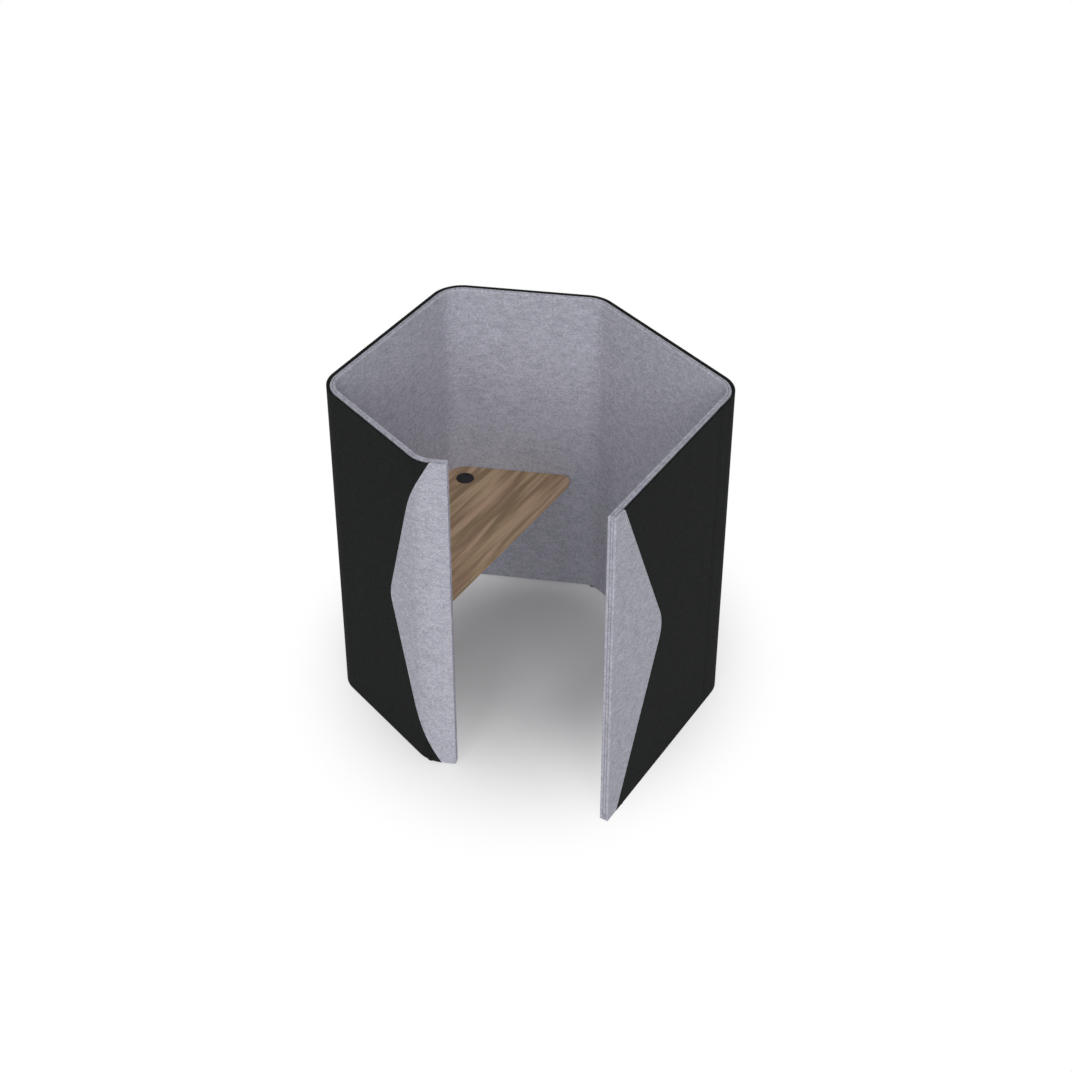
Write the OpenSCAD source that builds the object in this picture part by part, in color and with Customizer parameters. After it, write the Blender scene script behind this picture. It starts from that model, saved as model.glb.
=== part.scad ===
// Free-standing acoustic office pod: a felt wall bent round five corners and open at the front,
// with a worktop across the corner on its left, standing on six glide feet.
// Seen from above the wall runs clockwise from the entrance: return, left front wall, worktop wall,
// back wall, right back wall, right front wall. Its outer face meets in sharp corners that are
// numbered 1 to 5, and every corner is then rounded.

/* [Plan of the wall] */
// Height of the wall panels
wall_h = 1800; // [1600:10:2100]
// Turn of the wall at its three wide corners, in degrees
wide_turn = 68; // [66:0.5:70]
// Outer radius of every corner
corner_r = 168; // [150:2:190]
// Outer length of the short return beside the entrance
return_len = 142; // [130:2:180]
// Outer length of the left front wall
left_front_len = 795; // [780:5:900]
// Outer length of the wall behind the worktop
desk_wall_len = 1084; // [1040:4:1200]
// Outer length of the back wall
back_len = 795; // [740:5:900]
// Outer length of the right back wall
right_back_len = 1042; // [940:2:1120]
// Outer length of the right front wall, as far as the entrance
right_front_len = 1197; // [1150:1:1260]
// Gap between the floor and the panels
floor_gap = 8; // [7.5:0.5:12]

/* [Layers of the wall] */
// Thickness of the outer shell
shell_t = 16; // [12:1:20]
// Space between shell and lining for the core boards and their glue
core_t = 14; // [14:1:20]
// Thickness of the glue line on each face of the core boards
glue_t = 0.2; // [0.1:0.05:0.4]
// Thickness of the inner lining
lining_t = 15; // [12:1:20]
// Depth of the entrance facings behind the shell's outer face
facing_recess = 1.5; // [0.5:0.5:4]

/* [Entrance cuts] */
// Distance of the left cut from the return's end at the top of the wall
left_cut_top = 81; // [76:1:100]
// Distance of the left cut from the return's end at the panel's lower edge
left_cut_low = 73; // [70:1:100]
// Distance of the left cut's bends from the return's end, seen from the front
left_cut_bend = 186; // [170:2:220]
// Distance of the left cut's bends from the panel's upper and lower edges
left_cut_bend_h = 202; // [170:4:260]
// Radius of the left cut's bends
left_cut_bend_r = 910; // [600:10:1000]
// Distance of the left cut's tip from the return's end, seen from the front
left_cut_tip = 335; // [310:5:360]
// Height of the left cut's tip above the panel's lower edge
left_cut_tip_h = 899; // [840:1:960]
// Radius of the left cut's tip
left_cut_tip_r = 270; // [150:10:340]
// Distance of the right cut's tip from the entrance end
right_cut_tip = 497; // [400:1:600]
// Height of the right cut's tip above the panel's lower edge
right_cut_tip_h = 889; // [800:1:1000]
// Distance of the right cut from the entrance end at the top of the wall
right_cut_top = 79; // [60:1:120]
// Distance of the right cut from the entrance end at the panel's lower edge
right_cut_low = 86; // [60:1:120]
// Radius of the right cut's tip
right_cut_tip_r = 210; // [60:10:240]

/* [Seams] */
// Distance of the left seam from the corner between worktop wall and back wall
left_seam_back = 390; // [340:5:460]
// Distance of the back seam from the corner after the back wall
back_seam_on = 147; // [140:1:200]
// Distance of the right seam from the corner before the right front wall
right_seam_on = 205; // [200:1:260]
// Width of the battens that close a seam
batten_w = 22; // [16:1:30]
// Gap on each side of a batten
batten_gap = 0.8; // [0.4:0.1:1.4]

/* [Seam connectors] */
// Width of a connector plate across the seam
plate_w = 90; // [70:2:100]
// Height of a connector plate
plate_h = 60; // [40:2:80]
// Thickness of a connector plate
plate_t = 3; // [2:0.5:4]
// Distance of the lowest and highest plates from the panel's edges
plate_edge = 220; // [150:5:300]
// Distance of a connector screw from the seam
plate_screw_x = 30; // [20:1:34]
// Distance of a connector screw from the plate's middle height
plate_screw_z = 17; // [10:1:18]
// Shank radius of a connector screw
plate_screw_r = 2; // [1.5:0.25:2.5]
// Head radius of a connector screw
plate_screw_head_r = 4.2; // [3.4:0.1:5]
// Length of a connector screw
plate_screw_len = 12; // [8:0.5:13]

/* [Glide feet] */
// Radius of a foot's pad
pad_r = 20; // [18.5:0.5:30]
// Height of a foot's pad
pad_t = 5; // [4.5:0.1:5.4]
// Height of the pad's upright rim
pad_rim_t = 3.2; // [2:0.1:4]
// Radius of the pad's flat top
pad_top_r = 15; // [13:0.5:18]
// Depth of the socket in the pad's top that the foot screw stands in
pad_socket = 2.6; // [2:0.1:3]
// Radius of the foot screw, an M8 thread
stem_r = 4; // [3:0.5:4]
// Length of the foot screw
stem_len = 58; // [45:1:80]
// Size across the flats of the foot screw's hexagon
stem_hex = 13; // [10:0.5:13]
// Distance of the last foot from the entrance end of the right front wall
foot_end = 150; // [100:5:240]
// Radius of the threaded insert's body
insert_r = 5.3; // [5:0.1:5.6]
// Radius of the threaded insert's flange
insert_flange_r = 6.6; // [6:0.1:6.8]
// Thickness of the threaded insert's flange
insert_flange_t = 1.5; // [1:0.1:2]
// Length of the threaded insert
insert_len = 20; // [15:1:25]

/* [Worktop] */
// Height of the worktop's upper face above the floor
worktop_z = 730; // [680:5:780]
// Thickness of the worktop
worktop_t = 25; // [18:1:30]
// Depth of the worktop, from the wall to its front edge
worktop_depth = 600; // [540:5:640]
// Gap between the worktop and the walls
worktop_gap = 3; // [2:0.5:5]
// Radius of the worktop's two front corners
worktop_front_r = 50; // [30:5:70]
// Thickness of the band round the worktop's edge
edge_band_t = 2; // [1:0.5:3]

/* [Worktop brackets] */
// Width of a bracket
bracket_w = 50; // [44:1:60]
// Thickness of a bracket's plate
bracket_t = 4; // [3:0.5:5]
// Length of a bracket's arm under the worktop
bracket_arm = 360; // [300:5:400]
// Height of a bracket's leg on the wall
bracket_leg = 180; // [150:5:240]
// Distance of the outer brackets from their corner, along the wall
bracket_side = 400; // [340:5:440]
// Distance of the rear brackets from the corners of the worktop wall
bracket_rear = 310; // [270:5:340]
// Distance of a bracket's screws from its middle
bracket_screw_x = 15; // [13:0.5:17]
// Distance of a bracket's end screws from the ends of arm and leg
bracket_screw_end = 24; // [16:1:40]
// Distance of a bracket's inner screws from its bend
bracket_screw_bend = 60; // [40:2:90]
// Shank radius of a bracket screw
bracket_screw_r = 2.5; // [2:0.25:3]
// Head radius of a bracket screw
bracket_screw_head_r = 4.8; // [4:0.2:6]
// Head height of a bracket screw
bracket_screw_head_t = 2.6; // [2:0.1:3.5]
// Depth to which the worktop screws reach into the worktop
top_screw_bite = 16; // [10:1:17]
// Depth to which the wall screws reach into the core board
wall_screw_bite = 11; // [8:0.5:12]

/* [Cable grommet] */
// Distance of the grommet's middle from the two walls beside it
grommet_in = 112; // [100:2:160]
// Radius of the grommet's flange
grommet_flange_r = 47; // [45:0.5:52]
// Height of the grommet's flange above the worktop
grommet_flange_t = 2.6; // [2.4:0.1:4]
// Outer radius of the grommet's tube
grommet_tube_r = 39.7; // [36:0.1:40]
// Wall of the grommet's tube
grommet_tube_t = 2; // [1.5:0.1:3]
// Length of the grommet's tube below the worktop's upper face
grommet_tube_len = 22; // [16:1:24]
// Radius of the grommet's cap
grommet_cap_r = 42; // [41:0.1:43]
// Thickness of the grommet's cap
grommet_cap_t = 2; // [1.5:0.1:2.2]
// Depth of the ring that holds the cap in the tube
grommet_skirt = 8; // [5:0.5:10]
// Width of the cap's cable notch
notch_w = 26; // [18:1:30]
// Depth of the cap's cable notch, from the cap's rim
notch_l = 24; // [16:1:28]

/* [Hidden] */
$fn = 96;
// Overrun of every cut beyond the solid that it cuts
cut = 1;
// Radial clearance of a screw in its hole
screw_play = 0.1;
// Radial clearance of the foot screw in its insert and in its pad
thread_play = 0.05;
// Clearance between pieces that move on each other
play = 0.3;
narrow_turn = 180 - 2 * wide_turn;
wall_t = shell_t + core_t + lining_t;
core_face = shell_t + core_t - glue_t;
turns = [narrow_turn, wide_turn, wide_turn, narrow_turn, wide_turn];
lengths = [return_len, left_front_len, desk_wall_len, back_len, right_back_len, right_front_len];
right_front = 5; // index of the right front wall
sides = 6; // corners of a hexagon
bend_steps = 24; // flats that a bend of the wall or a rounded corner is drawn with
foot_depth = shell_t + core_t / 2;
left_seam = desk_wall_len - left_seam_back;
// Each seam: the wall that it lies on, and its distance from that wall's first corner
seams = [[2, left_seam], [4, back_seam_on], [5, right_seam_on]];
// Each section of the wall: first wall, start on it, last wall, end on that
sections = [[0, 0, 2, left_seam], [2, left_seam, 4, back_seam_on],
            [4, back_seam_on, 5, right_seam_on], [5, right_seam_on, 5, right_front_len]];
seam_trim = batten_w / 2 + batten_gap;
bracket_places = [[1, left_front_len - bracket_side], [2, bracket_rear],
                 [2, desk_wall_len - bracket_rear], [3, bracket_side]];
plate_heights = [plate_edge, wall_h / 2, wall_h - plate_edge];
foot_names = ["left_front", "left", "desk", "back", "right", "entrance"];

ink = [0.13, 0.14, 0.14];
felt_grey = [0.64, 0.64, 0.68];
felt_mid = [0.56, 0.56, 0.60];
walnut = [0.47, 0.38, 0.29];
walnut_dark = [0.40, 0.31, 0.23];
steel = [0.66, 0.67, 0.69];
zinc = [0.78, 0.78, 0.76];
plastic_black = [0.09, 0.09, 0.10];

// Plan geometry: wall i runs from corner i along its heading, with the inside on its right

function total(list, count) = count < 1 ? 0 : list[count - 1] + total(list, count - 1);
function heading(i) = 180 - total(turns, i);
function along(i) = [cos(heading(i)), sin(heading(i))];
function inward(i) = [sin(heading(i)), -cos(heading(i))];
function corner(k) = k < 1 ? [0, 0] : corner(k - 1) + lengths[k - 1] * along(k - 1);
function spot(i, distance, depth) = corner(i) + distance * along(i) + depth * inward(i);
function tangent(k) = corner_r * tan(turns[k - 1] / 2);
function bend_centre(k) = spot(k, tangent(k), corner_r);
function bend_point(k, depth, step) =
    let (a = heading(k - 1) + 90 - turns[k - 1] * step / bend_steps)
    bend_centre(k) + (corner_r - depth) * [cos(a), sin(a)];
function unit(v) = v / norm(v);

x_low = bend_centre(2).x - corner_r;
x_high = bend_centre(5).x + corner_r;
y_low = min(corner(0).y, corner(6).y);
y_high = corner(3).y;
middle = [(x_low + x_high) / 2, (y_low + y_high) / 2];

// Stands its children at the start of wall i: x along the wall, y outwards from its outer face
module on_wall(i) {
    translate(concat(corner(i) - middle, 0)) rotate([0, 0, heading(i)]) children();
}

// One layer of one section, between two depths from the outer face, short of its seams by trim
module layer(index, outer, inner, trim = 0) {
    section = sections[index];
    first = section[0];
    last = section[2];
    start = section[1] + (index > 0 ? trim : 0);
    end = section[3] - (index < len(seams) ? trim : 0);
    translate(concat(-middle, floor_gap)) linear_extrude(wall_h) polygon(concat(
        [spot(first, start, inner), spot(first, start, outer)],
        [for (k = [first + 1:1:last], i = [0:bend_steps]) bend_point(k, outer, i)],
        [spot(last, end, outer), spot(last, end, inner)],
        [for (k = [last:-1:first + 1], i = [bend_steps:-1:0]) bend_point(k, inner, i)]));
}

// Points along the arc that rounds one corner of an anticlockwise outline
function eased(before, at, after, r) =
    let (back = unit(before - at), on = unit(after - at), half = acos(back * on) / 2,
         centre = at + unit(back + on) * r / sin(half), arm = at + back * r / tan(half) - centre)
    [for (i = [0:bend_steps]) let (a = (180 - 2 * half) * i / bend_steps)
        centre + [arm.x * cos(a) - arm.y * sin(a), arm.x * sin(a) + arm.y * cos(a)]];

// Convex anticlockwise outline through the points, rounded at each by its radius, or sharp for zero
module rounded(points, radii) {
    count = len(points);
    polygon([for (i = [0:count - 1]) each radii[i] > 0
        ? eased(points[(i + count - 1) % count], points[i], points[(i + 1) % count], radii[i])
        : [points[i]]]);
}

// Everything on the entrance side of the left cut, which runs straight back from the front
module left_cut() {
    translate([-middle.x, left_front_len - middle.y, floor_gap]) rotate([90, 0, 0])
        linear_extrude(left_front_len + cut)
            rounded([[cut, -cut], [cut, wall_h + cut], [-left_cut_top, wall_h + cut],
                     [-left_cut_bend, wall_h - left_cut_bend_h], [-left_cut_tip, left_cut_tip_h],
                     [-left_cut_bend, left_cut_bend_h], [-left_cut_low, -cut]],
                    [0, 0, 0, left_cut_bend_r, left_cut_tip_r, left_cut_bend_r, 0]);
}

// Everything on the entrance side of the right cut, which runs square through the wall
module right_cut() {
    on_wall(right_front) translate([right_front_len, cut, floor_gap])
        rotate([90, 0, 0]) mirror([1, 0, 0]) linear_extrude(wall_t + cut)
            rounded([[-cut, -cut], [right_cut_low, -cut], [right_cut_tip, right_cut_tip_h],
                     [right_cut_top, wall_h + cut], [-cut, wall_h + cut]],
                    [0, 0, right_cut_tip_r, 0, 0]);
}

// Layers of the wall

module shell(index) {
    color(ink) difference() {
        layer(index, 0, shell_t, seam_trim);
        if (index == 0) left_cut();
        if (index == len(seams)) right_cut();
    }
}

module facing_left() {
    color(felt_grey) intersection() {
        layer(0, facing_recess, shell_t, seam_trim);
        left_cut();
    }
}

module facing_right() {
    color(felt_grey) intersection() {
        layer(len(seams), facing_recess, shell_t, seam_trim);
        right_cut();
    }
}

module core(index) {
    color(felt_mid) difference() {
        layer(index, shell_t + glue_t, core_face);
        for (k = [0:len(seams) - 1]) if (k == index || k + 1 == index) {
            at_plates(k) plate_blank(0);
            at_plates(k) at_plate_screws() screw_hole(plate_screw_r, plate_screw_len);
        }
        for (n = [0:len(foot_names) - 1]) at_foot(n) insert_hole();
        at_brackets(index) at_leg_screws() screw_hole(bracket_screw_r, leg_screw_len());
    }
}

module lining(index) {
    color(felt_grey) difference() {
        layer(index, shell_t + core_t, wall_t, seam_trim);
        at_brackets(index) at_leg_screws() screw_hole(bracket_screw_r, leg_screw_len());
    }
}

// Battens, one in each face of every seam

module batten_inner(k) {
    color(felt_grey) on_wall(seams[k][0])
        translate([seams[k][1] - batten_w / 2, -wall_t, floor_gap])
            cube([batten_w, lining_t, wall_h]);
}

module batten_outer(k) {
    color(ink) on_wall(seams[k][0])
        translate([seams[k][1] - batten_w / 2, -shell_t, floor_gap])
            cube([batten_w, shell_t, wall_h]);
}

// Seam connectors: plates let into the core boards' inner faces, and their countersunk screws

// Each place has x along the wall, z outwards into the core board, and its origin on the inner face
module at_plates(k) {
    for (height = plate_heights)
        on_wall(seams[k][0]) translate([seams[k][1], -core_face, floor_gap + height])
            rotate([-90, 0, 0]) children();
}

module at_plate_screws() {
    for (x = [-plate_screw_x, plate_screw_x], y = [-plate_screw_z, plate_screw_z])
        translate([x, y, 0]) children();
}

module plate_blank(lift) {
    translate([-plate_w / 2, -plate_h / 2, -cut + lift]) cube([plate_w, plate_h, plate_t + cut - lift]);
}

module screw_hole(r, length) {
    translate([0, 0, -cut]) cylinder(r = r + screw_play, h = length + cut + screw_play);
}

module connector_plates(k) {
    color(zinc) at_plates(k) difference() {
        plate_blank(cut);
        at_plate_screws() {
            translate([0, 0, -cut]) cylinder(r = plate_screw_r + screw_play, h = plate_t + 2 * cut);
            translate([0, 0, -screw_play])
                cylinder(r1 = plate_screw_head_r + 2 * screw_play, r2 = plate_screw_r + screw_play,
                         h = plate_screw_head_r - plate_screw_r + screw_play);
        }
    }
}

module connector_screws() {
    color(steel) for (k = [0:len(seams) - 1]) at_plates(k) at_plate_screws() rotate_extrude()
        polygon([[0, 0], [plate_screw_head_r, 0],
                 [plate_screw_r, plate_screw_head_r - plate_screw_r],
                 [plate_screw_r, plate_screw_len - plate_screw_r], [0, plate_screw_len]]);
}

// Glide feet: one under each corner and one near the entrance end

// Each place has its origin on the floor, under the middle of the core board
module at_foot(n) {
    if (n < len(turns))
        translate(concat(bend_centre(n + 1) - middle, 0))
            rotate([0, 0, heading(n) + 90 - turns[n] / 2])
                translate([corner_r - foot_depth, 0, 0]) children();
    else
        on_wall(right_front) translate([right_front_len - foot_end, -foot_depth, 0]) children();
}

module insert_hole() {
    translate([0, 0, floor_gap - cut]) {
        cylinder(r = insert_flange_r + screw_play, h = insert_flange_t + cut);
        cylinder(r = insert_r + screw_play, h = insert_len + cut);
        cylinder(r = stem_r + play, h = stem_len + cut);
    }
}

module foot_inserts() {
    color(zinc) for (n = [0:len(foot_names) - 1]) at_foot(n) translate([0, 0, floor_gap])
        rotate_extrude() polygon([
            [stem_r + thread_play, 0], [insert_flange_r, 0], [insert_flange_r, insert_flange_t],
            [insert_r, insert_flange_t], [insert_r, insert_len], [stem_r + thread_play, insert_len]]);
}

module foot_pad(n) {
    color(plastic_black) at_foot(n) rotate_extrude() polygon([
        [0, 0], [pad_r, 0], [pad_r, pad_rim_t], [pad_top_r, pad_t], [stem_r + thread_play, pad_t],
        [stem_r + thread_play, pad_t - pad_socket], [0, pad_t - pad_socket]]);
}

// The screws are driven home: their hexagons touch the pads below and the inserts above
module foot_screws() {
    color(steel) for (n = [0:len(foot_names) - 1]) at_foot(n) {
        translate([0, 0, pad_t - pad_socket]) cylinder(r = stem_r, h = stem_len);
        translate([0, 0, pad_t])
            cylinder(d = stem_hex / cos(180 / sides), h = floor_gap - pad_t, $fn = sides);
    }
}

// Worktop

// Corners of the worktop's outline in the worktop wall's place, drawn in by inset
function worktop_points(inset) =
    let (rear = wall_t + worktop_gap + inset,
         side = (wall_t + worktop_depth - inset - rear) / sin(wide_turn),
         left = [rear * tan(wide_turn / 2), -rear],
         right = [desk_wall_len - left.x, -rear])
    [left, left + side * [-cos(wide_turn), -sin(wide_turn)],
     right + side * [cos(wide_turn), -sin(wide_turn)], right];
function worktop_radii(inset) =
    let (rear_r = corner_r - wall_t - worktop_gap - inset, front_r = worktop_front_r - inset)
    [rear_r, front_r, front_r, rear_r];

module worktop_plan(inset) {
    rounded(worktop_points(inset), worktop_radii(inset));
}

module at_worktop() {
    on_wall(2) translate([0, 0, worktop_z - worktop_t]) children();
}

module worktop_board() {
    color(walnut) difference() {
        at_worktop() linear_extrude(worktop_t) worktop_plan(edge_band_t);
        at_grommet() translate([0, 0, -worktop_t - cut])
            cylinder(r = grommet_tube_r + play, h = worktop_t + 2 * cut);
        at_brackets() at_arm_screws() screw_hole(bracket_screw_r, bracket_t + top_screw_bite);
    }
}

module worktop_edge_band() {
    color(walnut_dark) at_worktop() linear_extrude(worktop_t) difference() {
        worktop_plan(0);
        worktop_plan(edge_band_t);
    }
}

// Brackets under the worktop

function in_section(place, index) =
    place[0] < sections[index][2] && place[0] >= sections[index][0] && index == 0
    || place[0] == sections[index][2] && place[1] < sections[index][3] && index == 0
    || place[0] == sections[index][0] && place[1] > sections[index][1] && index == 1
    || place[0] > sections[index][0] && index == 1;

// Stands its children at each bracket's bend: x along the wall, y outwards, z up.
// With an index, only at the brackets on that section of the wall.
module at_brackets(index = -1) {
    for (place = bracket_places) if (index < 0 || in_section(place, index)) at_bracket(place) children();
}

module at_bracket(place) {
    on_wall(place[0]) translate([place[1], -wall_t, worktop_z - worktop_t]) children();
}

function leg_screw_len() = bracket_t + lining_t + wall_screw_bite;

// Screws of the leg, seated on its inner side and pointing outwards along z
module at_leg_screws() {
    for (s = [[-1, bracket_screw_bend], [1, bracket_leg - bracket_screw_end]])
        translate([s[0] * bracket_screw_x, -bracket_t, -s[1]]) rotate([-90, 0, 0]) children();
}

// Screws of the arm, seated under it and pointing up
module at_arm_screws() {
    for (s = [[1, bracket_screw_bend], [-1, bracket_arm - bracket_screw_end]])
        translate([s[0] * bracket_screw_x, -s[1], -bracket_t]) children();
}

module bracket(i) {
    color(plastic_black) at_bracket(bracket_places[i]) difference() {
        union() {
            translate([-bracket_w / 2, -bracket_arm, -bracket_t])
                cube([bracket_w, bracket_arm, bracket_t]);
            translate([-bracket_w / 2, -bracket_t, -bracket_leg])
                cube([bracket_w, bracket_t, bracket_leg]);
            rotate([90, 0, 90]) translate([0, 0, -bracket_t / 2]) linear_extrude(bracket_t)
                polygon([[-bracket_t / 2, -bracket_t / 2],
                         [-bracket_arm + bracket_screw_end, -bracket_t / 2],
                         [-bracket_arm + bracket_screw_end, -2 * bracket_t],
                         [-2 * bracket_t, -bracket_leg + bracket_screw_end],
                         [-bracket_t / 2, -bracket_leg + bracket_screw_end]]);
        }
        at_leg_screws() screw_hole(bracket_screw_r, bracket_t);
        at_arm_screws() screw_hole(bracket_screw_r, bracket_t);
    }
}

module bracket_screw(length) {
    translate([0, 0, -bracket_screw_head_t])
        cylinder(r = bracket_screw_head_r, h = bracket_screw_head_t);
    cylinder(r = bracket_screw_r, h = length);
}

module bracket_wall_screws() {
    color(steel) at_brackets() at_leg_screws() bracket_screw(leg_screw_len());
}

module bracket_top_screws() {
    color(steel) at_brackets() at_arm_screws() bracket_screw(bracket_t + top_screw_bite);
}

// Cable grommet in the worktop's rear corner

// The grommet's place: origin on the worktop's upper face, y square to the back wall
module at_grommet() {
    inset = wall_t + grommet_in;
    on_wall(2) translate([desk_wall_len - inset * tan(wide_turn / 2), -inset, worktop_z])
        rotate([0, 0, -heading(2)]) children();
}

module grommet_sleeve() {
    seat_r = grommet_cap_r + play;
    seat_z = grommet_flange_t - grommet_cap_t - play;
    bore_r = grommet_tube_r - grommet_tube_t;
    color(plastic_black) at_grommet() rotate_extrude() polygon([
        [bore_r, -grommet_tube_len], [grommet_tube_r, -grommet_tube_len], [grommet_tube_r, 0],
        [grommet_flange_r, 0], [grommet_flange_r, grommet_flange_t / 2],
        [grommet_flange_r - grommet_flange_t / 2, grommet_flange_t], [seat_r, grommet_flange_t],
        [seat_r, seat_z], [bore_r, seat_z]]);
}

module grommet_cap() {
    skirt_r = grommet_tube_r - grommet_tube_t - play;
    under = grommet_flange_t - grommet_cap_t;
    color(plastic_black) at_grommet() difference() {
        rotate_extrude() polygon([
            [0, under], [skirt_r - grommet_tube_t, under],
            [skirt_r - grommet_tube_t, under - grommet_skirt], [skirt_r, under - grommet_skirt],
            [skirt_r, under], [grommet_cap_r, under], [grommet_cap_r, grommet_flange_t],
            [0, grommet_flange_t]]);
        translate([-notch_w / 2, grommet_cap_r - notch_l + notch_w / 2, under - grommet_skirt - cut])
            cube([notch_w, grommet_cap_r, grommet_skirt + grommet_cap_t + 2 * cut]);
        translate([0, grommet_cap_r - notch_l + notch_w / 2, under - grommet_skirt - cut])
            cylinder(d = notch_w, h = grommet_skirt + grommet_cap_t + 2 * cut);
    }
}

shell(0);  // shell_left
shell(1);  // shell_back
shell(2);  // shell_right
shell(3);  // shell_entrance
core(0);  // core_left
core(1);  // core_back
core(2);  // core_right
core(3);  // core_entrance
lining(0);  // lining_left
lining(1);  // lining_back
lining(2);  // lining_right
lining(3);  // lining_entrance
facing_left();
facing_right();
batten_inner(0);  // batten_inner_left
batten_inner(1);  // batten_inner_back
batten_inner(2);  // batten_inner_right
batten_outer(0);  // batten_outer_left
batten_outer(1);  // batten_outer_back
batten_outer(2);  // batten_outer_right
connector_plates(0);  // connector_plates_left
connector_plates(1);  // connector_plates_back
connector_plates(2);  // connector_plates_right
connector_screws();
foot_inserts();
foot_pad(0);  // foot_pad_left_front
foot_pad(1);  // foot_pad_left
foot_pad(2);  // foot_pad_desk
foot_pad(3);  // foot_pad_back
foot_pad(4);  // foot_pad_right
foot_pad(5);  // foot_pad_entrance
foot_screws();
worktop_board();
worktop_edge_band();
bracket(0);  // bracket_left
bracket(1);  // bracket_rear_left
bracket(2);  // bracket_rear_right
bracket(3);  // bracket_back
bracket_wall_screws();
bracket_top_screws();
grommet_sleeve();
grommet_cap();
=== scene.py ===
import math

import bmesh
import bpy
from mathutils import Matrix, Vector


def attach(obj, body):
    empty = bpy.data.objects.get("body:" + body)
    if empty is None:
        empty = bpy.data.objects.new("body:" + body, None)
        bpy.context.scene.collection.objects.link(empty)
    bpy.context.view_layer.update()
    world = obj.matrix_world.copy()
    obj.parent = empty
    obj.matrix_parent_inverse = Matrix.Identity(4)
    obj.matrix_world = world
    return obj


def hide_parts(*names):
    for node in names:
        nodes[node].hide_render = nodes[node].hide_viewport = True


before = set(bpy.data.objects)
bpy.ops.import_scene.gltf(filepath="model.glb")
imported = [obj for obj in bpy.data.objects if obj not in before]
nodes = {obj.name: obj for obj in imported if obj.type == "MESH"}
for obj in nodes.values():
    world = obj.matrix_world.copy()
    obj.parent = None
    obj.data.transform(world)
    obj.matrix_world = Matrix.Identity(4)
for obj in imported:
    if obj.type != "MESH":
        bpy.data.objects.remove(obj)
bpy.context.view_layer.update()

scene = bpy.context.scene
millimetre = 0.001
hair = 0.0004  # two places closer than this are one


# Shader maths: a wrapped socket can be added, multiplied and so on, and each step adds its node.
class Wire:
    def __init__(self, tree, socket=None):
        self.tree = tree
        self.socket = socket

    def add(self, kind, settings=None, sockets=None, output=0):
        node = self.tree.nodes.new("ShaderNode" + kind)
        for name, value in (settings or {}).items():
            if name == "stops":
                ramp = node.color_ramp
                while len(ramp.elements) < len(value):
                    ramp.elements.new(1)
                for element, (place, shade) in zip(ramp.elements, value):
                    element.position = place
                    element.color = (*shade, 1)
            else:
                setattr(node, name, value)
        for name, value in (sockets or {}).items():
            if isinstance(value, Wire):
                self.tree.links.new(value.socket, node.inputs[name])
            else:
                node.inputs[name].default_value = value
        return Wire(self.tree, node.outputs[output])

    def sum(self, operation, *values):
        return self.add("Math", {"operation": operation}, dict(enumerate(values)))

    def __add__(self, other):
        return self.sum("ADD", self, other)

    def __radd__(self, other):
        return self.sum("ADD", other, self)

    def __rsub__(self, other):
        return self.sum("SUBTRACT", other, self)

    def __mul__(self, other):
        return self.sum("MULTIPLY", self, other)

    def __rmul__(self, other):
        return self.sum("MULTIPLY", other, self)

    def between(self, low, high):
        # 0 below the one value, 1 above the other, and a soft step from one to the other
        return self.add("MapRange", {"interpolation_type": "SMOOTHSTEP"},
                        {"Value": self, "From Min": low, "From Max": high})

    def mix(self, first, second):
        return self.add("Mix", {"data_type": "RGBA"}, {0: self, 6: first, 7: second}, 2)

    def stretched(self, factors):
        return self.add("VectorMath", {"operation": "MULTIPLY"}, {0: self, 1: factors})

    def noise(self, size, detail=2.0, rough=0.5, distortion=0.0):
        return self.add("TexNoise", None, {
            "Vector": self, "Scale": 1 / size, "Detail": detail,
            "Roughness": rough, "Distortion": distortion})

    def bump(self, strength, depth):
        return self.add("Bump", None, {"Strength": strength, "Distance": depth, "Height": self})


def blended(shares, *wires):
    # the sum of some layers, each times its share
    total = wires[0] * shares[0]
    for share, wire in zip(shares[1:], wires[1:]):
        total = total + wire * share
    return total


def colour(red, green, blue):
    # from a colour of the screen, 0 to 255, to a linear one
    return tuple(((part / 255 + 0.055) / 1.055) ** 2.4 for part in (red, green, blue))


def newMaterial(name):
    material = bpy.data.materials.new(name)
    material.use_nodes = True
    tree = material.node_tree
    place = Wire(tree).add("TexCoord", output=3)
    return material, tree.nodes["Principled BSDF"], place


def connect(surface, links):
    for name, wire in links.items():
        if isinstance(wire, Wire):
            wire.tree.links.new(wire.socket, surface.inputs[name])
        else:
            surface.inputs[name].default_value = wire


# Felt: pressed fibre board, a melange of fibres that lie level along the wall
feltFinish = {
    "grey": {"dark": colour(138, 138, 150), "light": colour(204, 204, 215), "bump": 0.55},
    "core": {"dark": colour(134, 134, 146), "light": colour(200, 200, 211), "bump": 0.6},
    "black": {"dark": colour(19, 21, 20), "light": colour(37, 39, 38), "bump": 0.5},
    # layers of noise: height of one mark in metres, detail, roughness, distortion
    "bundles": (0.0058, 2, 0.55),
    "clouds": (0.0203, 2, 0.5),
    "flecks": (0.0020, 2, 0.6),
    "fibres": (0.00045, 2, 0.6, 0.8),
    "fuzz": (0.0007, 1, 0.5),
    "run": 0.50,                       # height of a mark over its length
    "fibreRun": 0.35,                  # the same of a fibre, on top of that
    "tone": (0.44, 0.19, 0.25, 0.12),  # shares of bundles, clouds, flecks and fibres
    "relief": (0.3, 0.3, 0.25, 0.15),  # shares of bundles, flecks, fibres and fuzz
    "contrast": (0.30, 0.70),
    "depth": 0.0012,
    "rough": 0.86,
    "fuzzRough": 0.1,
    "shine": 0.1,
}


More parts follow.
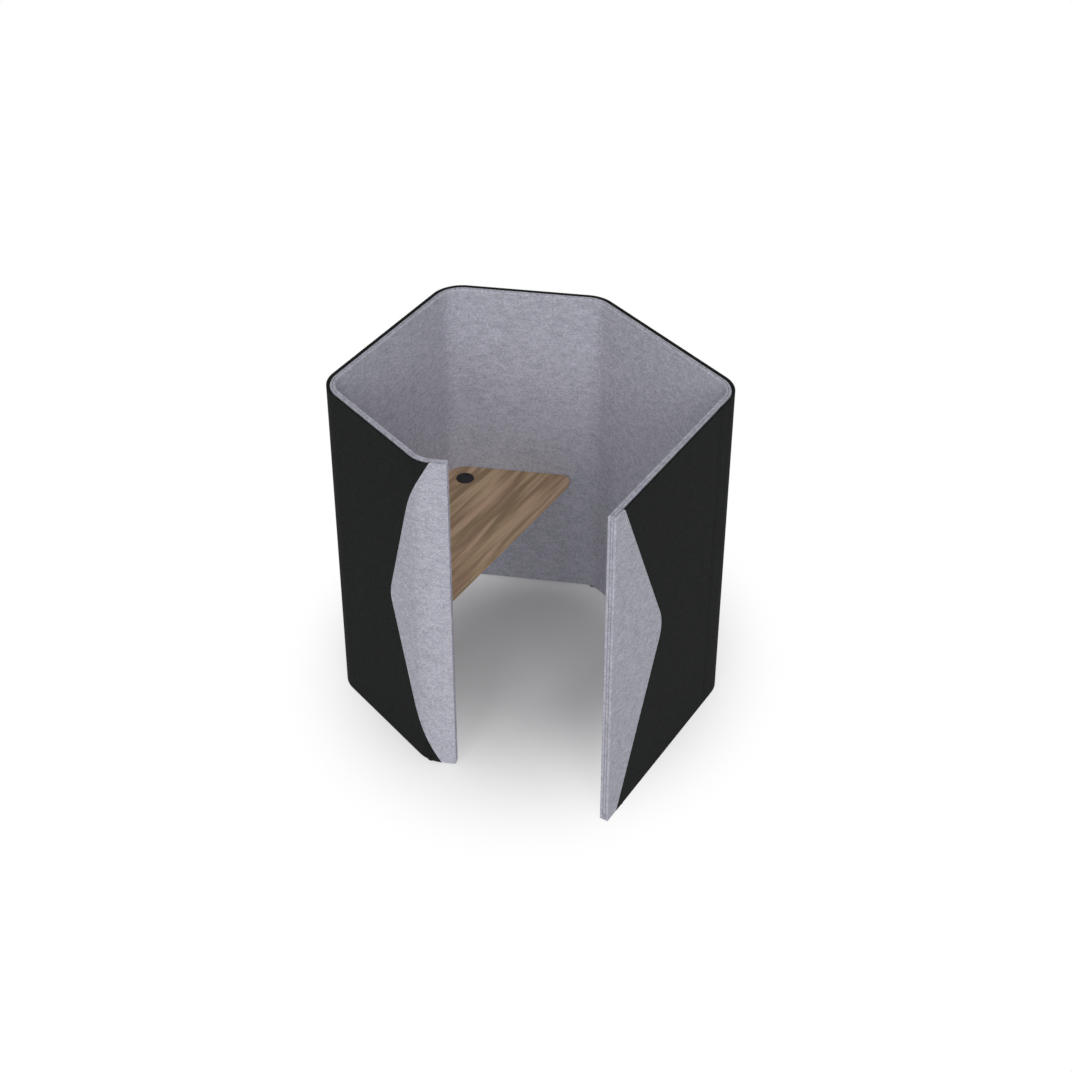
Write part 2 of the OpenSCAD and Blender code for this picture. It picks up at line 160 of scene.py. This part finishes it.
def feltMaterial(name, finish):
    material, surface, place = newMaterial(name)
    run, fibreRun = feltFinish["run"], feltFinish["fibreRun"]
    level = place.stretched((run, run, 1))
    bundles = level.noise(*feltFinish["bundles"])
    clouds = level.noise(*feltFinish["clouds"])
    flecks = level.noise(*feltFinish["flecks"])
    fuzz = place.noise(*feltFinish["fuzz"])
    fibres = level.stretched((fibreRun, fibreRun, 1)).noise(*feltFinish["fibres"])
    blend = blended(feltFinish["tone"], bundles, clouds, flecks, fibres)
    tone = blend.between(*feltFinish["contrast"]).mix((*finish["dark"], 1), (*finish["light"], 1))
    relief = blended(feltFinish["relief"], bundles, flecks, fibres, fuzz)
    connect(surface, {
        "Base Color": tone,
        "Roughness": feltFinish["rough"] + feltFinish["fuzzRough"] * fuzz,
        "Normal": relief.bump(finish["bump"], feltFinish["depth"]),
        "Specular IOR Level": feltFinish["shine"]})
    return material


# Worktop: walnut pattern, its grain along the worktop's front edge
woodFinish = {
    "heading": 68.0,
    "pale": colour(216, 186, 152),
    "middle": colour(186, 158, 124),
    "deep": colour(144, 118, 90),
    "red": colour(192, 150, 124),
    "olive": colour(178, 156, 114),
    # layers of noise: width of one mark in metres, detail, roughness, distortion
    "bands": (0.052, 1, 0.4, 0.7),
    "figure": (0.052 / 3.5, 2, 0.5, 0.4),
    "warmth": (0.052 * 2.2, 1, 0.5),
    "grain": (0.0024, 3, 0.6),
    "pores": (0.0024 * 0.4, 2, 0.5),
    # width over length of a mark in each layer
    "runs": {"bands": 0.075, "figure": 0.06, "warmth": 0.25, "grain": 0.03, "pores": 0.05},
    "tone": (0.70, 0.21, 0.09),  # shares of bands, figure and grain
    "contrast": (0.395, 0.605),
    "tint": 0.3,                 # share of red and olive in the colour
    "tintStep": (0.35, 0.65),
    "poreStep": (0.56, 0.68),
    "poreDark": 0.42,
    "bump": 0.25,
    "depth": 0.0004,
    "relief": (0.6, 0.4),        # shares of grain and of the wood between pores
    "grainRough": 0.12,
}


def woodMaterial(name, rough):
    material, surface, place = newMaterial(name)
    turned = place.add("Mapping", None, {
        "Vector": place, "Rotation": (0, 0, math.radians(-woodFinish["heading"]))})
    layers = {}
    for layer, run in woodFinish["runs"].items():
        layers[layer] = turned.stretched((run, 1, 1)).noise(*woodFinish[layer])
    bands, figure, grain = layers["bands"], layers["figure"], layers["grain"]
    lift = blended(woodFinish["tone"], bands, figure, grain).between(*woodFinish["contrast"])
    tone = place.add("ValToRGB", {"stops": [
        (0.0, woodFinish["deep"]), (0.5, woodFinish["middle"]), (1.0, woodFinish["pale"])]},
        {"Fac": lift})
    warmth = layers["warmth"].between(*woodFinish["tintStep"])
    tint = warmth.mix((*woodFinish["olive"], 1), (*woodFinish["red"], 1))
    tone = place.add("Mix", {"data_type": "RGBA"}, {0: woodFinish["tint"], 6: tone, 7: tint}, 2)
    pore = layers["pores"].between(*woodFinish["poreStep"])
    tone = (pore * woodFinish["poreDark"]).mix(tone, (*woodFinish["deep"], 1))
    relief = blended(woodFinish["relief"], grain, 1 - pore)
    connect(surface, {
        "Base Color": tone,
        "Roughness": rough + woodFinish["grainRough"] * grain,
        "Normal": relief.bump(woodFinish["bump"], woodFinish["depth"])})
    return material


# Plastic of the grommet and feet, and the brackets' powder coat
plasticFinish = {
    "grain": (0.0007, 2, 0.6),  # layers as above
    "wear": (0.012, 3, 0.6),
    "wearStep": (0.5, 0.75),
    "worn": (1.7, 0.004),       # a worn place is the colour times the one, plus the other
    "wearRough": 0.12,
    "bump": 0.3,
    "depth": 0.0002,
}


def plasticMaterial(name, shade, rough):
    material, surface, place = newMaterial(name)
    grain = place.noise(*plasticFinish["grain"])
    wear = place.noise(*plasticFinish["wear"])
    times, plus = plasticFinish["worn"]
    worn = tuple(part * times + plus for part in shade)
    connect(surface, {
        "Base Color": wear.between(*plasticFinish["wearStep"]).mix((*shade, 1), (*worn, 1)),
        "Roughness": rough + plasticFinish["wearRough"] * wear,
        "Normal": grain.bump(plasticFinish["bump"], plasticFinish["depth"])})
    return material


# Metal of the screws, inserts and connector plates
metalFinish = {
    "clouds": (0.006, 3, 0.6),  # layers as above
    "scratches": (0.0009, 2, 0.6),
    "scratchRun": 0.05,
    "cloudStep": (0.4, 0.7),
    "dull": 0.72,
    "cloudRough": 0.15,
    "scratchRough": 0.1,
    "bump": 0.2,
    "depth": 0.0001,
}


def metalMaterial(name, shade, rough):
    material, surface, place = newMaterial(name)
    clouds = place.noise(*metalFinish["clouds"])
    upright = place.stretched((1, 1, metalFinish["scratchRun"]))
    scratches = upright.noise(*metalFinish["scratches"])
    dull = tuple(part * metalFinish["dull"] for part in shade)
    unevenness = metalFinish["cloudRough"] * clouds + metalFinish["scratchRough"] * scratches
    connect(surface, {
        "Base Color": clouds.between(*metalFinish["cloudStep"]).mix((*shade, 1), (*dull, 1)),
        "Metallic": 1.0,
        "Roughness": rough + unevenness,
        "Normal": scratches.bump(metalFinish["bump"], metalFinish["depth"])})
    return material


finishes = {
    "felt_grey": feltMaterial("greyFelt", feltFinish["grey"]),
    "felt_core": feltMaterial("coreFelt", feltFinish["core"]),
    "felt_black": feltMaterial("blackFelt", feltFinish["black"]),
    "walnut_board": woodMaterial("walnutFace", 0.42),
    "walnut_edge": woodMaterial("walnutEdge", 0.46),
    "grommet_plastic": plasticMaterial("grommetPlastic", colour(29, 30, 32), 0.42),
    "foot_plastic": plasticMaterial("footPlastic", colour(26, 26, 27), 0.5),
    "bracket_black": plasticMaterial("powderCoat", colour(34, 34, 35), 0.55),
    "zinc_plate": metalMaterial("zincPlate", colour(188, 190, 192), 0.32),
    "screw_steel": metalMaterial("screwSteel", colour(176, 176, 178), 0.3),
}
print("materials made")

# The wall's plan in metres, from the left side of the entrance round to the right
wallPlan = {
    "start": (-0.261438, -0.640484),
    "lengths": (0.142, 0.795, 1.084, 0.795, 1.042, 1.197),
    "headings": (180, 136, 68, 0, -44, -112),
    "bendRadius": 0.168,
    "thickness": 0.045,
    "slack": 0.003,    # a place this far off the wall still counts as in it
    "endDepth": 0.06,  # and an entrance end is looked for this deep, from the outer face
}


def planWalls():
    found = []
    here = Vector(wallPlan["start"])
    for length, heading in zip(wallPlan["lengths"], wallPlan["headings"]):
        ahead = Vector((math.cos(math.radians(heading)), math.sin(math.radians(heading))))
        inwards = Vector((ahead.y, -ahead.x))
        found.append({"from": here, "length": length, "ahead": ahead, "in": inwards})
        here = here + length * ahead
    radius = wallPlan["bendRadius"]
    for before, after in zip(found, found[1:]):
        turn = before["ahead"].angle(after["ahead"])
        cut = radius * math.tan(turn / 2)
        before["end"] = before["length"] - cut
        after["begin"] = cut
        after["centre"] = after["from"] + cut * after["ahead"] + radius * after["in"]
        after["before"] = before["ahead"]
    return found


walls = planWalls()


def depthAt(point):
    # distance from the wall's outer face, inwards, at a place in the wall
    place = Vector((point.x, point.y))
    slack = wallPlan["slack"]
    deepest = wallPlan["thickness"] + slack
    for wall in walls:
        if "centre" in wall:
            spoke = place - wall["centre"]
            depth = wallPlan["bendRadius"] - spoke.length
            inBend = spoke.dot(wall["before"]) >= 0 and spoke.dot(wall["ahead"]) <= 0
            if inBend and -slack <= depth <= deepest:
                return depth
    best = None
    for wall in walls:
        away = place - wall["from"]
        reach = away.dot(wall["ahead"])
        depth = away.dot(wall["in"])
        begin = wall.get("begin", 0) - slack
        end = wall.get("end", wall["length"]) + slack
        if begin <= reach <= end and -slack <= depth <= deepest:
            if best is None or abs(depth) < abs(best):
                best = depth
    return best


def nearEntrance(point):
    # whether a place lies on one of the wall's two ends, beside the entrance
    first, last = walls[0], walls[-1]
    slack, endDepth = wallPlan["slack"], wallPlan["endDepth"]
    place = Vector((point.x, point.y))
    fromFirst = (place - first["from"]).dot(first["ahead"])
    fromLast = last["length"] - (place - last["from"]).dot(last["ahead"])
    depth = (place - last["from"]).dot(last["in"])
    atFirst = fromFirst < slack and place.y < first["from"].y + endDepth
    return atFirst or (fromLast < slack and depth < endDepth)


# Felt boards: each is the board of the part with its edges pressed round
feltEdges = {
    # radii in millimetres: of the rim outside and inside, at the seams, at the entrance, at the
    # foot, and across the top and foot of an end; the bulge is the shape of all of them
    "shell": {"rimOut": 1.8, "rimIn": 12.5, "end": 2.4,
              "entrance": 2.2, "foot": 3.0, "across": 1.0, "bulge": 0.42},
    "core": {"rimOut": 9.0, "rimIn": 4.2, "end": 0.0,
             "entrance": 5.6, "foot": 2.0, "across": 0.0, "bulge": 0.5},
    "lining": {"rimOut": 6.8, "rimIn": 7.0, "end": 2.4,
               "entrance": 5.8, "foot": 3.0, "across": 1.0, "bulge": 0.5},
    "facing": {"rimOut": 5.8, "rimIn": 6.0, "end": 1.2,
               "entrance": 5.4, "foot": 3.0, "across": 1.0, "bulge": 0.5},
    "batten": {"rimOut": 1.8, "rimIn": 7.0, "end": 2.4,
               "entrance": 1.0, "foot": 3.0, "across": 1.0, "bulge": 0.5},
    "segments": 5,
    "joinWithin": 0.00002,  # metres between corners that are one
    "flatBelow": 0.25,      # degrees between faces that are one
    "edgeFrom": 28,         # degrees between faces that meet in an edge to round
    "sharpFrom": 40,        # degrees between faces that stay apart in the shading
    "shortest": 0.0025,     # metres of the shortest edge to round
    "faceWeight": 60,       # how far the large faces rule the shading
}


def edgeWidth(edge, depths, span, levels, widths, rims):
    # radius in millimetres for an edge, or None where it stays as it is
    if len(edge.link_faces) != 2 or edge.calc_face_angle(0) < math.radians(feltEdges["edgeFrom"]):
        return None
    first, second = edge.verts
    one, two = depths[first], depths[second]
    if one is None or two is None or edge.calc_length() < feltEdges["shortest"]:
        return None
    outer, inner = span
    foot, top = levels
    atTop = min(first.co.z, second.co.z) > top - hair
    atFoot = max(first.co.z, second.co.z) < foot + hair
    onFace = abs(one - two) < hair and (one < outer + hair or one > inner - hair)
    atEntrance = nearEntrance(first.co) and nearEntrance(second.co)
    if onFace and atTop:
        return rims[0] if one < (outer + inner) / 2 else rims[1]
    if onFace and atFoot:
        return widths["foot"]
    if onFace:
        return widths["entrance"] if atEntrance else widths["end"]
    if atTop or atFoot:
        return widths["entrance"] if atEntrance else widths["across"]
    return 0.0


def baked(shaped):
    # the mesh of an object with its modifiers worked in
    bpy.context.view_layer.update()
    worked = shaped.evaluated_get(bpy.context.evaluated_depsgraph_get())
    return bpy.data.meshes.new_from_object(worked)


def roundedBoard(nodeName, kind, slotName):
    widths = feltEdges[kind]
    widest = max(widths.values()) * millimetre
    rims = [widths["rimOut"], widths["rimIn"]]
    if nodeName.startswith("batten_outer"):
        rims[1] = feltEdges["shell"]["rimIn"]
        widest = rims[1] * millimetre
    elif nodeName.startswith("batten_inner"):
        rims[0] = feltEdges["lining"]["rimOut"]
    shape = bmesh.new()
    shape.from_mesh(nodes[nodeName].data)
    bmesh.ops.remove_doubles(shape, verts=shape.verts, dist=feltEdges["joinWithin"])
    bmesh.ops.dissolve_limit(shape, angle_limit=math.radians(feltEdges["flatBelow"]),
                             verts=shape.verts, edges=shape.edges)
    heights = [v.co.z for v in shape.verts]
    depths = {v: depthAt(v.co) for v in shape.verts}
    known = [depth for depth in depths.values() if depth is not None]
    span = (min(known), max(known))
    levels = (min(heights), max(heights))
    weights = shape.edges.layers.float.new("bevel_weight_edge")
    for edge in shape.edges:
        width = edgeWidth(edge, depths, span, levels, widths, rims)
        if width is not None:
            edge[weights] = width * millimetre / widest
    for face in shape.faces:
        face.smooth = True
    mesh = bpy.data.meshes.new(nodeName + "Felt")
    shape.to_mesh(mesh)
    shape.free()
    raw = bpy.data.objects.new("raw", mesh)
    scene.collection.objects.link(raw)
    bevel = raw.modifiers.new("rounding", "BEVEL")
    bevel.limit_method = "WEIGHT"
    bevel.width = widest
    bevel.segments = feltEdges["segments"]
    bevel.profile = widths["bulge"]
    bevel.use_clamp_overlap = False
    rounded = baked(raw)
    rounded.set_sharp_from_angle(angle=math.radians(feltEdges["sharpFrom"]))
    raw.modifiers.clear()
    raw.data = rounded
    normals = raw.modifiers.new("normals", "WEIGHTED_NORMAL")
    normals.mode = "FACE_AREA_WITH_ANGLE"
    normals.weight = feltEdges["faceWeight"]
    normals.keep_sharp = True
    made = baked(raw)
    made.name = nodeName + "Felt"
    bpy.data.objects.remove(raw)
    piece = bpy.data.objects.new(nodeName + "_felt", made)
    scene.collection.objects.link(piece)
    made.materials.clear()
    made.materials.append(finishes[slotName])
    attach(piece, "pod")
    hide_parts(nodeName)


for name in sorted(nodes):
    kind = name.split("_")[0]
    if kind in ("shell", "core", "lining", "facing", "batten"):
        if kind == "shell" or name.startswith("batten_outer"):
            slotName = "felt_black"
        else:
            slotName = "felt_core" if kind == "core" else "felt_grey"
        roundedBoard(name, kind, slotName)
print("felt boards made")

# Hard pieces keep the shapes of the part: the start of a node's name gives its finish
hardFinish = {
    "worktop_board": "walnut_board", "worktop_edge_band": "walnut_edge",
    "grommet": "grommet_plastic", "foot_pad": "foot_plastic", "foot_screws": "screw_steel",
    "foot_inserts": "zinc_plate", "bracket_wall_screws": "screw_steel",
    "bracket_top_screws": "screw_steel", "connector_screws": "screw_steel",
    "connector_plates": "zinc_plate", "bracket": "bracket_black",
}
for name, node in nodes.items():
    for beginning, slotName in hardFinish.items():
        if name.startswith(beginning):
            for slot in node.material_slots:
                slot.material = finishes[slotName]
            break
print("hard pieces finished")

# Camera, as the photograph was taken
view = {
    "place": (1.27716, -7.82446, 6.9704),
    "tilt": 52.885,
    "turn": 9.019,
    "sensor": 36,
    "focus": 2039.48 / 1072,  # the lens, in widths of the picture
    "farthest": 200,
}
camera = bpy.data.cameras.new("camera")
camera.sensor_width = view["sensor"]
camera.lens = view["sensor"] * view["focus"]
camera.clip_end = view["farthest"]
cameraObject = bpy.data.objects.new("camera", camera)
cameraObject.location = view["place"]
cameraObject.rotation_euler = (math.radians(view["tilt"]), 0, math.radians(view["turn"]))
scene.collection.objects.link(cameraObject)
scene.camera = cameraObject

# Studio: a pale floor, an even sky and three soft lamps before the entrance. Away from the pod,
# the floor the camera sees glows plain white. That glow is painted light, and it hides the pod's
# shadow there.
studio = {
    "floorRadius": 60.0,
    "floorSides": 96,
    "floor": 0.80,        # the floor's colour for light that bounces off it
    "floorSeen": 0.90,    # and as the camera sees it
    # painted light: away from this place the camera sees the floor glow plain white by emission,
    # which hides the pod's shadow there; near it the floor keeps its real shade
    "whiteAround": (-0.01, 0.27, 0.0),
    "whiteAcross": 1.16,  # how much sooner it turns white sideways
    "whiteFrom": 0.38,    # the floor turns to plain white between these
    "whiteTo": 1.56,      # distances from that place
    "sky": 0.46,
    "lampAngle": 24,
    "lamps": [  # share of the light, heading it comes from, height in degrees
        (0.185, -105, 22),
        (0.196, -75, 22),
        (0.159, -60, 38),
    ],
}


def floorMaterial():
    material = bpy.data.materials.new("paperWithPaintedGlow")
    material.use_nodes = True
    tree = material.node_tree
    tree.nodes.clear()
    start = Wire(tree)
    lightPath = start.add("LightPath").socket.node
    direct = Wire(tree, lightPath.outputs["Is Camera Ray"])
    mirrored = Wire(tree, lightPath.outputs["Is Glossy Ray"])
    through = Wire(tree, lightPath.outputs["Is Transmission Ray"])
    seen = direct + mirrored + through
    offset = start.add("VectorMath", {"operation": "SUBTRACT"}, {
        0: start.add("TexCoord", output=3), 1: studio["whiteAround"]})
    away = start.add("VectorMath", {"operation": "LENGTH"}, {
        0: offset.stretched((studio["whiteAcross"], 1, 1))}, 1)
    # painted light: how much of the floor the camera sees is swapped for a plain white glow,
    # growing with the distance from the pod, in place of its real shadow
    paintedGlowShare = away.between(studio["whiteFrom"], studio["whiteTo"])
    bounced = start.add("BsdfDiffuse", None, {"Color": (*[studio["floor"]] * 3, 1)})
    shaded = start.add("BsdfDiffuse", None, {"Color": (*[studio["floorSeen"]] * 3, 1)})
    # painted glow: plain white emission laid on the floor away from the pod
    paintedGlow = start.add("Emission", None, {"Color": (1, 1, 1, 1), "Strength": 1.0})
    shown = start.add("MixShader", None, {0: paintedGlowShare, 1: shaded, 2: paintedGlow})
    both = start.add("MixShader", None, {0: seen, 1: bounced, 2: shown})
    output = tree.nodes.new("ShaderNodeOutputMaterial")
    tree.links.new(both.socket, output.inputs["Surface"])
    return material


def makeFloor():
    shape = bmesh.new()
    bmesh.ops.create_circle(shape, cap_ends=True, segments=studio["floorSides"],
                            radius=studio["floorRadius"])
    mesh = bpy.data.meshes.new("floor")
    shape.to_mesh(mesh)
    shape.free()
    mesh.materials.append(floorMaterial())
    floor = bpy.data.objects.new("floor", mesh)
    scene.collection.objects.link(floor)


def makeLamp(number, share, heading, height):
    lamp = bpy.data.lights.new("lamp%d" % number, "SUN")
    lamp.energy = share * math.pi
    lamp.angle = math.radians(studio["lampAngle"])
    around, up = math.radians(heading), math.radians(height)
    level = math.cos(up)
    towards = Vector((level * math.cos(around), level * math.sin(around), math.sin(up)))
    lampObject = bpy.data.objects.new("lamp%d" % number, lamp)
    lampObject.rotation_euler = towards.to_track_quat("Z", "Y").to_euler()
    scene.collection.objects.link(lampObject)


makeFloor()
world = bpy.data.worlds.new("sky")
scene.world = world
world.use_nodes = True
sky = world.node_tree.nodes["Background"]
sky.inputs["Color"].default_value = (1, 1, 1, 1)
sky.inputs["Strength"].default_value = studio["sky"]
for number, lampSettings in enumerate(studio["lamps"]):
    makeLamp(number, *lampSettings)
scene.view_settings.view_transform = "Standard"
print("camera and lights set")
